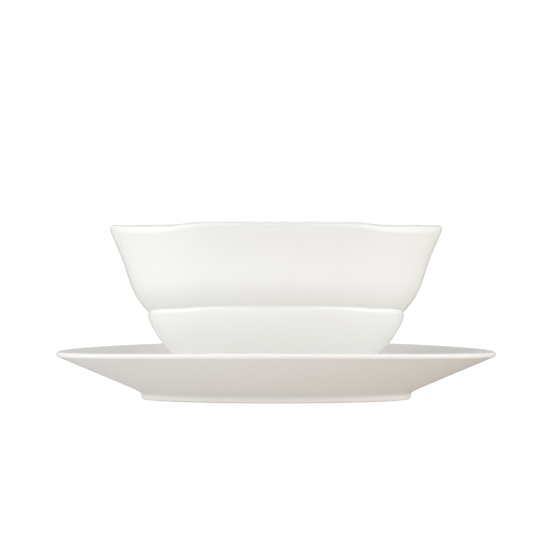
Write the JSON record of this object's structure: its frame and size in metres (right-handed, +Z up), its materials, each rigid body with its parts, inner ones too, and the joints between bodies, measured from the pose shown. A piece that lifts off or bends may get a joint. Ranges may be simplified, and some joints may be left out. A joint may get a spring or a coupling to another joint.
{
  "type": "gravy boat",
  "caption": "Oval porcelain gravy boat with a pouring lip at each end and a waisted wall, lifted freely off its own oval underplate.",
  "frame": {"origin": "on the table under the middle of the saucer", "axes": "+X along the boat towards one pouring lip, +Z up; the two long sides face +Y and -Y"},
  "size_m": [0.22, 0.15, 0.0883],
  "materials": {
    "boat_glaze": "gloss white glaze",
    "saucer_glaze": "gloss white glaze"
  },
  "bodies": {
    "underplate": {"saucer": "saucer_glaze"},
    "boat": {"sauce_boat": "boat_glaze"}
  },
  "joints": [
    {"name": "boat_lift", "type": "slide", "parent": "underplate", "child": "boat", "axis": [0, 0, 1], "range_m": [0, 0.12]}
  ]
}
